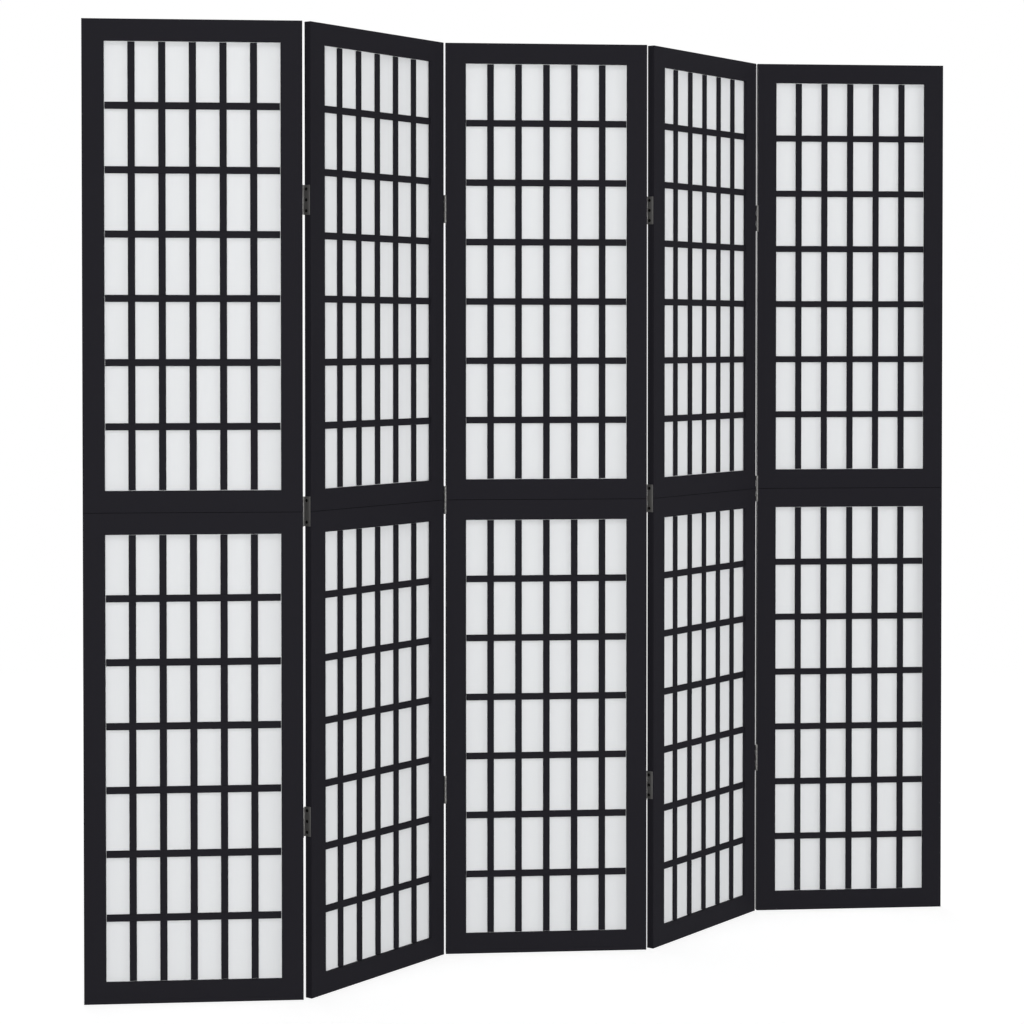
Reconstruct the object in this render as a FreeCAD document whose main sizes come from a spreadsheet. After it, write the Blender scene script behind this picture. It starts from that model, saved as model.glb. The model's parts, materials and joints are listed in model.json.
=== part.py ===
import FreeCAD, Part
import math
import os
import Sketcher

# Folding screen of five panels that stands as a zigzag.
# Each panel is an upper and a lower half frame, dowelled together at mid height. A half frame is two stiles
# and two tenoned rails, grooved round the opening for a fabric sheet, with a half-lapped lattice on both
# faces of the sheet. Small butt hinges on the panels' edges join each panel to the next, with their barrels
# by turns at the back and at the front.
# Lengths are in millimetres and angles in degrees. The screen runs along X, its back is towards +Y, Z is up,
# and the origin is on the floor under the middle panel. A panel is drawn in a frame of its own: X along its
# width, Y from front to back, Z up from the floor, the origin under its middle.

SIZES = {
    # Panel and its frame members
    "panel_width": 400,
    "panel_height": 1800,
    "panel_thickness": 15,
    "stile_width": 40,
    "rail_width": 40,
    "edge_easing": 0.3,
    # Bend between neighbouring panels as the screen stands
    "fold_angle": 49,
    # Rail tenons, and the room around them in their mortises
    "tenon_length": 20,
    "tenon_width": 24,
    "tenon_thickness": 6,
    "joint_clearance": 0.1,
    # Fabric sheet and the groove that holds its edge
    "sheet_thickness": 0.4,
    "sheet_clearance": 0.3,
    "groove_depth": 6,
    # Lattice: fields across and up one opening, and its strips
    "field_columns": 6,
    "field_rows": 7,
    "strip_width": 13,
    "strip_thickness": 3.4,
    "strip_end_gap": 1,
    "glue_line": 0.1,
    "lap_clearance": 0.1,
    # Dowels between the upper and lower half of a panel
    "dowel_diameter": 8,
    "dowel_length": 50,
    "dowel_spacing": 200,
    "dowel_chamfer": 1,
    "dowel_clearance": 0.1,
    # Butt hinges: the barrel's axis stands proud of the panel's face and beside the panel's edge
    "barrel_diameter": 5,
    "barrel_proud": 2.3,
    "axis_to_edge": 1.2,
    "leaf_thickness": 0.9,
    "leaf_height": 55,
    "leaf_margin": 1.7,
    "knuckle_count": 5,
    "knuckle_gap": 0.2,
    "knuckle_clearance": 0.4,
    "pin_clearance": 0.05,
    "pin_chamfer": 0.3,
    "hinge_inset": 327,
    # Countersunk screws, set back from the barrel's axis and in from the leaf's ends
    "screw_end_margin": 7.5,
    "screw_setback": 6.9,
    "screw_diameter": 3,
    "screw_head": 6,
    "screw_length": 14,
    "screw_point": 3,
    "screw_clearance": 0.05,
    "recess_span": 3,
    "recess_width": 0.7,
    "recess_depth": 0.6,
}

# Sizes that follow from those above, as expressions on the sheet
HALF_HEIGHT = "(Sizes.panel_height / 2)"
FACE = "(Sizes.panel_thickness / 2)"
OPENING_WIDTH = "(Sizes.panel_width - 2 * Sizes.stile_width)"
OPENING_HEIGHT = f"({HALF_HEIGHT} - 2 * Sizes.rail_width)"
GROOVE_WIDTH = "(Sizes.sheet_thickness + 2 * Sizes.sheet_clearance)"
SHEET_EDGE = "(Sizes.groove_depth - Sizes.sheet_clearance)"
MORTISE_WIDTH = "(Sizes.tenon_width + 2 * Sizes.joint_clearance)"
MORTISE_THICKNESS = "(Sizes.tenon_thickness + 2 * Sizes.joint_clearance)"
STRIP_BACK = "(Sizes.sheet_thickness / 2 + Sizes.glue_line)"
STRIP_FRONT = f"({STRIP_BACK} + Sizes.strip_thickness)"
LAP_LEVEL = f"({STRIP_BACK} + Sizes.strip_thickness / 2)"
LAP_WIDTH = "(Sizes.strip_width + 2 * Sizes.lap_clearance)"
FIELD_WIDTH = f"(({OPENING_WIDTH} - (Sizes.field_columns - 1) * Sizes.strip_width) / Sizes.field_columns)"
COLUMN_PITCH = f"({FIELD_WIDTH} + Sizes.strip_width)"
ROW_PITCH = f"({OPENING_HEIGHT} / Sizes.field_rows)"
BARREL_RADIUS = "(Sizes.barrel_diameter / 2)"
BORE_RADIUS = f"({BARREL_RADIUS} - Sizes.leaf_thickness)"
PIN_RADIUS = f"({BORE_RADIUS} - Sizes.pin_clearance)"
PLATE_FACE = "(Sizes.axis_to_edge - Sizes.leaf_thickness)"
LEAF_REACH = "(Sizes.panel_thickness + Sizes.barrel_proud - Sizes.leaf_margin)"
KNUCKLE_HEIGHT = "(Sizes.leaf_height / Sizes.knuckle_count)"
SCREW_SPACING = "(Sizes.leaf_height / 2 - Sizes.screw_end_margin)"
SHANK_RADIUS = "(Sizes.screw_diameter / 2)"
HEAD_RADIUS = "(Sizes.screw_head / 2)"
SHANK_LENGTH = "(Sizes.screw_length - Sizes.leaf_thickness)"

# The joint between each panel and the next, by the face that carries its barrels
JOINTS = {1: "back", 2: "front", 3: "back", 4: "front"}
PANELS = (1, 2, 3, 4, 5)
MIDDLE_PANEL = 3
HALVES = ("lower", "upper")
HINGES = ("lower", "middle", "upper")
# Screws along a leaf, counted from its middle. The middle hinge bridges the seam, so it has none there.
SCREW_ROWS = {"lower": (-1, 0, 1), "middle": (-1, 1), "upper": (-1, 0, 1)}

ORIGIN = FreeCAD.Vector(0, 0, 0)
X_AXIS = FreeCAD.Vector(1, 0, 0)
Y_AXIS = FreeCAD.Vector(0, 1, 0)
Z_AXIS = FreeCAD.Vector(0, 0, 1)
AS_DRAWN = FreeCAD.Rotation()
ABOUT_X = FreeCAD.Rotation(X_AXIS, 180)
ABOUT_Y = FreeCAD.Rotation(Y_AXIS, 180)
ABOUT_Z = FreeCAD.Rotation(Z_AXIS, 180)
Z_TO_X = FreeCAD.Rotation(Y_AXIS, 90)
X_TO_Z = FreeCAD.Rotation(Y_AXIS, -90)
# Turns that take the lower right stile to the other three, the lower half to the upper, and a leaf drawn for
# a left edge with its barrel at the front to the other edges
STILE_TURNS = {"lower": (ABOUT_Z, AS_DRAWN), "upper": (ABOUT_Y, ABOUT_X)}
HALF_TURN = {"lower": AS_DRAWN, "upper": ABOUT_Y}
LEAF_TURN = {(-1, "front"): AS_DRAWN, (1, "back"): ABOUT_Z, (-1, "back"): ABOUT_X, (1, "front"): ABOUT_Y}

doc = FreeCAD.newDocument("FoldingScreen")
sheet = doc.addObject("Spreadsheet::Sheet", "Sizes")
for row, (alias, number) in enumerate(SIZES.items(), start=1):
    sheet.set(f"A{row}", alias)
    sheet.set(f"B{row}", str(number))
    sheet.setAlias(f"B{row}", alias)
doc.recompute()


def value(expression):
    """The number that an expression on the sheet comes to."""
    return float(sheet.evalExpression(expression))


def bind(feature, **expressions):
    """Binds a feature's properties to expressions on the sheet."""
    for name, expression in expressions.items():
        feature.setExpression(name, str(expression))


def put(feature, corner, turn=AS_DRAWN):
    """Turns a feature and binds its place to three expressions."""
    feature.Placement = FreeCAD.Placement(ORIGIN, turn)
    for axis, expression in zip("xyz", corner):
        feature.setExpression(f"Placement.Base.{axis}", str(expression))


def origin_feature(body, role):
    return next(f for f in body.Origin.OriginFeatures if f.Role == role)


def block(body, kind, name, corner, extent):
    """Adds or cuts a box, from its lowest corner and its extent along X, Y and Z."""
    box = body.newObject(f"PartDesign::{kind}Box", name)
    bind(box, Length=extent[0], Width=extent[1], Height=extent[2])
    put(box, corner)
    return box


def bore(body, name, start, turn, radius, depth):
    """Cuts a round hole that starts at a point and runs along the turned Z axis."""
    hole = body.newObject("PartDesign::SubtractiveCylinder", name)
    bind(hole, Radius=radius, Height=depth)
    put(hole, start, turn)
    return hole


def repeat(body, feature, name, role, length, count):
    """Repeats a feature along one of the body's axes."""
    pattern = body.newObject("PartDesign::LinearPattern", name)
    pattern.Originals = [feature]
    pattern.Direction = (origin_feature(body, role), [""])
    bind(pattern, Length=length, Occurrences=count)
    body.Tip = pattern


def ease(body, member, is_eased):
    """Chamfers the front and back edges of a member whose middles pass the test."""
    doc.recompute()
    face = value(FACE)
    eased = [f"Edge{index}" for index, edge in enumerate(member.Shape.Edges, start=1)
             if math.isclose(abs(edge.CenterOfMass.y), face) and is_eased(edge.CenterOfMass)]
    chamfer = body.newObject("PartDesign::Chamfer", f"{member.Name}_easing")
    chamfer.Base = (member, eased)
    bind(chamfer, Size="Sizes.edge_easing")


def sketch_on(body, name, role):
    sketch = body.newObject("Sketcher::SketchObject", name)
    sketch.AttachmentSupport = [(origin_feature(body, role), "")]
    sketch.MapMode = "FlatFace"
    return sketch


def fix_distance(sketch, kind, geometry, point, expression):
    """Fixes a point's distance from the sketch's origin along X or Y."""
    rule = Sketcher.Constraint(kind, -1, 1, geometry, point, value(expression))
    sketch.setExpression(f"Constraints[{sketch.addConstraint(rule)}]", expression)


def turned_piece(name, corners):
    """A round piece along X, turned from its outline: distances along the axis and radii."""
    body = doc.addObject("PartDesign::Body", name)
    sketch = sketch_on(body, f"{name}_outline", "XY_Plane")
    points = [FreeCAD.Vector(value(along), value(radius), 0) for along, radius in corners]
    count = len(points)
    for index, point in enumerate(points):
        sketch.addGeometry(Part.LineSegment(point, points[(index + 1) % count]), False)
    for index, (along, radius) in enumerate(corners):
        sketch.addConstraint(Sketcher.Constraint("Coincident", index, 2, (index + 1) % count, 1))
        fix_distance(sketch, "DistanceX", index, 1, along)
        fix_distance(sketch, "DistanceY", index, 1, radius)
    turning = body.newObject("PartDesign::Revolution", f"{name}_turning")
    turning.Profile = sketch
    turning.ReferenceAxis = (origin_feature(body, "X_Axis"), [""])
    turning.Angle = 360
    return body


def make_stile():
    """The lower right stile, with its groove and two mortises in the inner edge."""
    body = doc.addObject("PartDesign::Body", "stile")
    inner = f"({OPENING_WIDTH} / 2)"
    member = block(body, "Additive", "stile_stock", (inner, f"-{FACE}", 0),
                   ("Sizes.stile_width", "Sizes.panel_thickness", HALF_HEIGHT))
    ease(body, member, lambda middle: middle.x > value(inner) + value("Sizes.edge_easing"))
    block(body, "Subtractive", "stile_groove",
          (inner, f"-{GROOVE_WIDTH} / 2", "Sizes.rail_width - Sizes.groove_depth"),
          ("Sizes.groove_depth", GROOVE_WIDTH, f"{OPENING_HEIGHT} + 2 * Sizes.groove_depth"))
    mortise = block(body, "Subtractive", "stile_mortise",
                    (inner, f"-{MORTISE_THICKNESS} / 2", f"(Sizes.rail_width - {MORTISE_WIDTH}) / 2"),
                    ("Sizes.tenon_length + Sizes.joint_clearance", MORTISE_THICKNESS, MORTISE_WIDTH))
    repeat(body, mortise, "stile_mortises", "Z_Axis", f"{HALF_HEIGHT} - Sizes.rail_width", 2)
    return body


def make_rail(name, bottom, groove_bottom, eased_edge):
    """A rail of the lower half, from its lower edge, with a groove and a tenon at each end."""
    body = doc.addObject("PartDesign::Body", name)
    member = block(body, "Additive", f"{name}_stock", (f"-{OPENING_WIDTH} / 2", f"-{FACE}", bottom),
                   (OPENING_WIDTH, "Sizes.panel_thickness", "Sizes.rail_width"))
    ease(body, member, lambda middle: math.isclose(middle.z, value(eased_edge), abs_tol=1e-6))
    tenon_bottom = f"{bottom} + (Sizes.rail_width - Sizes.tenon_width) / 2"
    tenon_starts = {"left": f"-{OPENING_WIDTH} / 2 - Sizes.tenon_length", "right": f"{OPENING_WIDTH} / 2"}
    for end, start in tenon_starts.items():
        block(body, "Additive", f"{name}_{end}_tenon", (start, "-Sizes.tenon_thickness / 2", tenon_bottom),
              ("Sizes.tenon_length", "Sizes.tenon_thickness", "Sizes.tenon_width"))
    block(body, "Subtractive", f"{name}_groove",
          (f"-{OPENING_WIDTH} / 2", f"-{GROOVE_WIDTH} / 2", groove_bottom),
          (OPENING_WIDTH, GROOVE_WIDTH, "Sizes.groove_depth"))
    return body


def make_outer_rail():
    """The rail on the floor, grooved in its upper edge."""
    return make_rail("outer_rail", "0", "Sizes.rail_width - Sizes.groove_depth", "0")


def make_seam_rail():
    """The rail at mid height, grooved in its lower edge and bored for dowels from above."""
    bottom = f"({HALF_HEIGHT} - Sizes.rail_width)"
    body = make_rail("seam_rail", bottom, bottom, HALF_HEIGHT)
    depth = "(Sizes.dowel_length / 2 + Sizes.dowel_clearance)"
    hole = bore(body, "dowel_hole", ("-Sizes.dowel_spacing / 2", 0, f"{HALF_HEIGHT} - {depth}"), AS_DRAWN,
                "Sizes.dowel_diameter / 2 + Sizes.dowel_clearance", depth)
    repeat(body, hole, "dowel_holes", "X_Axis", "Sizes.dowel_spacing", 2)
    return body


def make_fabric():
    """The fabric sheet of the lower half, with its edges in the grooves."""
    cloth = doc.addObject("Part::Box", "fabric_sheet")
    bind(cloth, Length=f"{OPENING_WIDTH} + 2 * {SHEET_EDGE}", Width="Sizes.sheet_thickness",
         Height=f"{OPENING_HEIGHT} + 2 * {SHEET_EDGE}")
    put(cloth, (f"-{OPENING_WIDTH} / 2 - {SHEET_EDGE}", "-Sizes.sheet_thickness / 2",
                f"Sizes.rail_width - {SHEET_EDGE}"))
    return cloth


def make_upright_strip():
    """An upright lattice strip at mid width, lapped on its outer half where the cross strips pass."""
    body = doc.addObject("PartDesign::Body", "upright_strip")
    block(body, "Additive", "upright_stock",
          ("-Sizes.strip_width / 2", f"-{STRIP_FRONT}", "Sizes.rail_width + Sizes.strip_end_gap"),
          ("Sizes.strip_width", "Sizes.strip_thickness", f"{OPENING_HEIGHT} - 2 * Sizes.strip_end_gap"))
    first_lap = f"Sizes.rail_width + {ROW_PITCH} - {LAP_WIDTH} / 2"
    lap = block(body, "Subtractive", "upright_lap", ("-Sizes.strip_width / 2", f"-{STRIP_FRONT}", first_lap),
                ("Sizes.strip_width", f"{STRIP_FRONT} - {LAP_LEVEL} + Sizes.lap_clearance / 2", LAP_WIDTH))
    span = f"(Sizes.field_rows - 2) * {ROW_PITCH}"
    repeat(body, lap, "upright_laps", "Z_Axis", span, "Sizes.field_rows - 1")
    return body


def make_cross_strip():
    """The lowest cross strip of the lattice, lapped on its inner half where the upright strips pass."""
    body = doc.addObject("PartDesign::Body", "cross_strip")
    bottom = f"Sizes.rail_width + {ROW_PITCH} - Sizes.strip_width / 2"
    block(body, "Additive", "cross_stock",
          (f"Sizes.strip_end_gap - {OPENING_WIDTH} / 2", f"-{STRIP_FRONT}", bottom),
          (f"{OPENING_WIDTH} - 2 * Sizes.strip_end_gap", "Sizes.strip_thickness", "Sizes.strip_width"))
    reach = f"((Sizes.field_columns - 2) * {COLUMN_PITCH})"
    lap = block(body, "Subtractive", "cross_lap",
                (f"-{reach} / 2 - {LAP_WIDTH} / 2", f"-{LAP_LEVEL} - Sizes.lap_clearance / 2", bottom),
                (LAP_WIDTH, f"{LAP_LEVEL} - {STRIP_BACK} + Sizes.lap_clearance / 2", "Sizes.strip_width"))
    repeat(body, lap, "cross_laps", "X_Axis", reach, "Sizes.field_columns - 1")
    return body


def make_lattice():
    """The lattice on the front of the lower half's sheet."""
    columns = int(value("Sizes.field_columns"))
    rows = int(value("Sizes.field_rows"))
    upright = make_upright_strip()
    cross = make_cross_strip()
    copies = []
    for column in range(1, columns):
        along = (column - columns / 2) * value(COLUMN_PITCH)
        copies.append(copy_of(upright, FreeCAD.Placement(X_AXIS * along, AS_DRAWN)))
    for row in range(rows - 1):
        copies.append(copy_of(cross, FreeCAD.Placement(Z_AXIS * row * value(ROW_PITCH), AS_DRAWN)))
    return group_of("lattice", copies)


def make_leaf(name, other_knuckles, screw_rows):
    """A hinge leaf for a left edge, with its barrel's axis on Z and its plate reaching back along +Y."""
    body = doc.addObject("PartDesign::Body", name)
    sketch = sketch_on(body, f"{name}_profile", "XY_Plane")
    wood_side = "Sizes.axis_to_edge"
    root = f"sqrt({BARREL_RADIUS} ^ 2 - {wood_side} ^ 2)"
    radius, outside, inside = value(BARREL_RADIUS), value(wood_side), value(PLATE_FACE)
    reach, curl = value(LEAF_REACH), math.sqrt(radius**2 - inside**2)
    corners = [FreeCAD.Vector(*point) for point in
               ((outside, value(root)), (outside, reach), (inside, reach), (inside, curl))]
    for start, end in zip(corners, corners[1:]):
        sketch.addGeometry(Part.LineSegment(start, end), False)
    circle = Part.Circle(ORIGIN, Z_AXIS, radius)
    roll = Part.ArcOfCircle(circle, math.acos(inside / radius), 2 * math.pi + math.acos(outside / radius))
    arc = sketch.addGeometry(roll, False)
    for first, second in ((0, 1), (1, 2), (2, arc), (arc, 0)):
        sketch.addConstraint(Sketcher.Constraint("Coincident", first, 2, second, 1))
    sketch.addConstraint(Sketcher.Constraint("Coincident", arc, 3, -1, 1))
    fix_distance(sketch, "DistanceX", 0, 1, wood_side)
    fix_distance(sketch, "DistanceY", 0, 1, root)
    fix_distance(sketch, "DistanceX", 1, 1, wood_side)
    fix_distance(sketch, "DistanceY", 1, 1, LEAF_REACH)
    fix_distance(sketch, "DistanceX", 2, 1, PLATE_FACE)
    fix_distance(sketch, "DistanceY", 2, 1, LEAF_REACH)
    fix_distance(sketch, "DistanceX", 2, 2, PLATE_FACE)
    rolled = body.newObject("PartDesign::Pad", f"{name}_plate")
    rolled.Profile = sketch
    rolled.SideType = "Symmetric"
    bind(rolled, Length="Sizes.leaf_height")
    bore(body, f"{name}_bore", (0, 0, "-Sizes.leaf_height / 2"), AS_DRAWN, BORE_RADIUS, "Sizes.leaf_height")
    clear = f"({BARREL_RADIUS} + Sizes.knuckle_clearance)"
    for knuckle in other_knuckles:
        foot = f"{knuckle} * {KNUCKLE_HEIGHT} - (Sizes.leaf_height + Sizes.knuckle_gap) / 2"
        block(body, "Subtractive", f"{name}_gap_{knuckle}", (f"-{clear}", f"-{clear}", foot),
              (f"2 * {clear}", f"2 * {clear}", f"{KNUCKLE_HEIGHT} + Sizes.knuckle_gap"))
    for screw_row in screw_rows:
        seat = body.newObject("PartDesign::SubtractiveCone", f"{name}_seat")
        bind(seat, Radius1=f"{HEAD_RADIUS} + Sizes.screw_clearance",
             Radius2=f"{SHANK_RADIUS} + Sizes.screw_clearance", Height="Sizes.leaf_thickness")
        put(seat, (PLATE_FACE, "Sizes.screw_setback", f"{screw_row} * {SCREW_SPACING}"), Z_TO_X)
    return body


def make_leaves():
    """The leaves by owner and hinge: an even panel's have the end knuckles, an odd panel's those between."""
    knuckles = range(int(value("Sizes.knuckle_count")))
    leaves = {}
    for owner, others in (("even", knuckles[1::2]), ("odd", knuckles[0::2])):
        outer_leaf = make_leaf(f"{owner}_outer_leaf", others, SCREW_ROWS["lower"])
        middle_leaf = make_leaf(f"{owner}_middle_leaf", others, SCREW_ROWS["middle"])
        for hinge, leaf in zip(HINGES, (outer_leaf, middle_leaf, outer_leaf)):
            leaves[owner, hinge] = leaf
    return leaves


def make_screw():
    """A countersunk wood screw along +X, with a cross recess. Its head ends at the wood's surface, x = 0."""
    head = "-Sizes.leaf_thickness"
    point = f"{SHANK_LENGTH} - Sizes.screw_point"
    body = turned_piece("hinge_screw", ((head, "0"), (head, HEAD_RADIUS), ("0", SHANK_RADIUS),
                                        (point, SHANK_RADIUS), (SHANK_LENGTH, "0")))
    span, width = "Sizes.recess_span", "Sizes.recess_width"
    for name, wide, tall in (("upright", width, span), ("level", span, width)):
        block(body, "Subtractive", f"{name}_recess", (head, f"-{wide} / 2", f"-{tall} / 2"),
              ("Sizes.recess_depth", wide, tall))
    return body


def make_rod(name, radius, length, chamfer):
    """A round rod along X about its middle, chamfered at both ends."""
    end = f"{length} / 2"
    tip = f"{radius} - {chamfer}"
    return turned_piece(name, ((f"-{end}", "0"), (f"-{end}", tip), (f"-{end} + {chamfer}", radius),
                               (f"{end} - {chamfer}", radius), (end, tip), (end, "0")))


def make_pilot_hole():
    """The hole that a hinge screw's shank takes up in the wood, along +X."""
    hole = doc.addObject("Part::Cylinder", "pilot_hole")
    bind(hole, Radius=f"{SHANK_RADIUS} + Sizes.screw_clearance",
         Height=f"{SHANK_LENGTH} + Sizes.screw_clearance")
    hole.Placement = FreeCAD.Placement(ORIGIN, Z_TO_X)
    return hole


def copy_of(piece, placement):
    """A linked copy of a piece at another place."""
    link = doc.addObject("App::Link", f"{piece.Name}_copy")
    link.LinkedObject = piece
    link.Placement = placement
    return link


def group_of(name, pieces):
    group = doc.addObject("Part::Compound", name)
    group.Links = pieces
    return group


def turn_panel(turn):
    """The placement that turns a panel's piece about the panel's middle."""
    return FreeCAD.Placement(ORIGIN, turn, Z_AXIS * value(HALF_HEIGHT))


def hinged_edges(panel):
    """A panel's hinged edges, left as -1 and right as 1, with the face that carries the barrels."""
    return [(side, JOINTS[joint]) for side, joint in ((-1, panel - 1), (1, panel)) if joint in JOINTS]


def barrel_axis(side, face):
    """Where a hinge's axis stands in plan, in a panel's own frame."""
    along = side * value("Sizes.panel_width / 2 + Sizes.axis_to_edge")
    out = value(FACE) + value("Sizes.barrel_proud")
    return FreeCAD.Vector(along, out if face == "back" else -out, 0)


def hinge_height(hinge):
    inset = value("Sizes.hinge_inset")
    height = value("Sizes.panel_height")
    return {"lower": inset, "middle": height / 2, "upper": height - inset}[hinge]


def screw_places(panel):
    """The placements of a panel's hinge screws, each on the wood's surface and pointing in."""
    places = []
    for side, face in hinged_edges(panel):
        axis = barrel_axis(side, face)
        back = value("Sizes.screw_setback") * (-1 if face == "back" else 1)
        for hinge in HINGES:
            for screw_row in SCREW_ROWS[hinge]:
                height = hinge_height(hinge) + screw_row * value(SCREW_SPACING)
                surface = FreeCAD.Vector(side * value("Sizes.panel_width / 2"), axis.y + back, height)
                places.append(FreeCAD.Placement(surface, ABOUT_Z if side > 0 else AS_DRAWN))
    return places


def panel_places():
    """Where each panel stands, worked out from the middle panel along the hinges."""
    fold = value("Sizes.fold_angle")
    places = {MIDDLE_PANEL: FreeCAD.Placement(ORIGIN, FreeCAD.Rotation(Z_AXIS, -fold / 2))}
    for side in (-1, 1):
        for step in range(len(PANELS) // 2):
            panel = MIDDLE_PANEL + side * step
            neighbour = panel + side
            face = JOINTS[min(panel, neighbour)]
            bend = FreeCAD.Rotation(Z_AXIS, fold if neighbour % 2 == 0 else -fold)
            to_axis = FreeCAD.Placement(barrel_axis(side, face), bend)
            from_axis = FreeCAD.Placement(-barrel_axis(-side, face), AS_DRAWN)
            places[neighbour] = places[panel] * to_axis * from_axis
    return places


stile = make_stile()
outer_rail = make_outer_rail()
seam_rail = make_seam_rail()
fabric = make_fabric()
lattice = make_lattice()
leaves = make_leaves()
screw = make_screw()
pilot_hole = make_pilot_hole()
pin = make_rod("hinge_pin", PIN_RADIUS, "Sizes.leaf_height", "Sizes.pin_chamfer")
dowel = make_rod("seam_dowel", "Sizes.dowel_diameter / 2", "Sizes.dowel_length", "Sizes.dowel_chamfer")

places = panel_places()
nodes = []


def add_node(label, panel, piece):
    """Names a finished group of pieces and stands it in its panel's place."""
    piece.Label = label
    piece.Placement = places[panel]
    nodes.append(piece)


def add_half_panel(panel, half):
    name = f"panel_{panel}_{half}"
    half_turn = turn_panel(HALF_TURN[half])
    pair = [copy_of(stile, turn_panel(turn)) for turn in STILE_TURNS[half]]
    holes = [copy_of(pilot_hole, place * pilot_hole.Placement) for place in screw_places(panel)]
    stiles = doc.addObject("Part::Cut", f"{name}_bored_stiles")
    stiles.Base = group_of(f"{name}_stile_pair", pair)
    stiles.Tool = group_of(f"{name}_pilot_holes", holes)
    add_node(f"{name}_stiles", panel, stiles)
    rails = [copy_of(rail, half_turn) for rail in (outer_rail, seam_rail)]
    add_node(f"{name}_rails", panel, group_of(f"{name}_rail_pair", rails))
    cloth = copy_of(fabric, half_turn * fabric.Placement)
    add_node(f"{name}_fabric", panel, group_of(f"{name}_cloth", [cloth]))
    faces = [copy_of(lattice, face) for face in (half_turn, half_turn * turn_panel(ABOUT_Z))]
    add_node(f"{name}_lattice", panel, group_of(f"{name}_lattice_faces", faces))


def add_hardware(panel):
    owner = "even" if panel % 2 == 0 else "odd"
    plates = []
    for side, face in hinged_edges(panel):
        for hinge in HINGES:
            at = barrel_axis(side, face) + Z_AXIS * hinge_height(hinge)
            plates.append(copy_of(leaves[owner, hinge], FreeCAD.Placement(at, LEAF_TURN[side, face])))
    add_node(f"panel_{panel}_hinge_leaves", panel, group_of(f"panel_{panel}_leaves", plates))
    screws = [copy_of(screw, place) for place in screw_places(panel)]
    add_node(f"panel_{panel}_hinge_screws", panel, group_of(f"panel_{panel}_screws", screws))
    spread = value("Sizes.dowel_spacing / 2")
    dowels = [copy_of(dowel, FreeCAD.Placement(FreeCAD.Vector(along, 0, value(HALF_HEIGHT)), X_TO_Z))
              for along in (-spread, spread)]
    add_node(f"panel_{panel}_dowels", panel, group_of(f"panel_{panel}_dowel_pair", dowels))


def add_pins(joint):
    """The pins of one joint's hinges, which stay with the even panel's knuckles."""
    panel = joint if joint % 2 == 0 else joint + 1
    axis = barrel_axis(1 if panel == joint else -1, JOINTS[joint])
    pins = [copy_of(pin, FreeCAD.Placement(axis + Z_AXIS * hinge_height(hinge), X_TO_Z))
            for hinge in HINGES]
    add_node(f"hinge_pins_{joint}_{joint + 1}", panel, group_of(f"joint_{joint}_pins", pins))


doc.recompute()
for panel in PANELS:
    for half in HALVES:
        add_half_panel(panel, half)
    add_hardware(panel)
for joint in JOINTS:
    add_pins(joint)
doc.recompute()

failed = [item.Name for item in doc.Objects if "Invalid" in item.State or "Error" in item.State]
if failed:
    raise RuntimeError(f"failed objects: {failed}")
for node in nodes:
    if node.Shape.isNull() or not node.Shape.isValid() or not node.Shape.Solids:
        raise RuntimeError(f"bad shape: {node.Label}")

os.makedirs("parts", exist_ok=True)
for node in nodes:
    Part.makeCompound(node.Shape.Solids).exportStep(os.path.join("parts", f"{node.Label}.step"))
print(f"{len(nodes)} nodes, {sum(len(node.Shape.Solids) for node in nodes)} solids")
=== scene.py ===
import json
import math

import bmesh
import bpy
from mathutils import Matrix, Vector, noise

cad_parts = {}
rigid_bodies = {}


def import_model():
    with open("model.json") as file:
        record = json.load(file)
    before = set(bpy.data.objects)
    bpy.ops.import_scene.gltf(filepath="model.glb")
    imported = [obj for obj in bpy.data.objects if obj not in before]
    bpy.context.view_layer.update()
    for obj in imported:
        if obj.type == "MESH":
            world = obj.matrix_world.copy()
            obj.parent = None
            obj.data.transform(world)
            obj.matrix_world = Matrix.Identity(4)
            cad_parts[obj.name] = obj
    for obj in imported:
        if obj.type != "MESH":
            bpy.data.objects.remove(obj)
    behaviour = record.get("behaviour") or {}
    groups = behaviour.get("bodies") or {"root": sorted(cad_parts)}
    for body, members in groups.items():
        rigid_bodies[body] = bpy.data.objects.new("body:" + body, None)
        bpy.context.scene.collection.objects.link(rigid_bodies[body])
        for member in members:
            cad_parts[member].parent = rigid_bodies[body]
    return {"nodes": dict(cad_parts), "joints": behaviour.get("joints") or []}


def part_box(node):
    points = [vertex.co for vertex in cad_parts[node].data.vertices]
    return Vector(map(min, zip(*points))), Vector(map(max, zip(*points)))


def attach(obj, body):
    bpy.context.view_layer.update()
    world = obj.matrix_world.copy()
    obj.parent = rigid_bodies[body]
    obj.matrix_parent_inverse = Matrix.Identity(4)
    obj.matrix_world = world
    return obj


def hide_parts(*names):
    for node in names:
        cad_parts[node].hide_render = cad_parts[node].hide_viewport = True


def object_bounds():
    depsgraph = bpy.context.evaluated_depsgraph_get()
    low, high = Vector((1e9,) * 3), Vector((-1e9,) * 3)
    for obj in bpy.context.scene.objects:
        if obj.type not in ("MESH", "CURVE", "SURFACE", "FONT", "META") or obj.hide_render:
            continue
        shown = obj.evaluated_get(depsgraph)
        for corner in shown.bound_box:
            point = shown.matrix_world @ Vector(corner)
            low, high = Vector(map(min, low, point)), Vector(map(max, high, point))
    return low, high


# Folding screen of five panels, as it stands in a zigzag on a white studio floor.
# The frames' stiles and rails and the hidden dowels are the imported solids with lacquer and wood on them.
# The lattice strips, the fabric sheets and the hinges' leaves, pins and screws are modelled here in place of
# theirs. A panel's pieces are made in a frame of its own, X along its width, Y from front to back and Z up
# from the floor, and then set in the panel's place.

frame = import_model()
cad_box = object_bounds()

MM = 0.001

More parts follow.
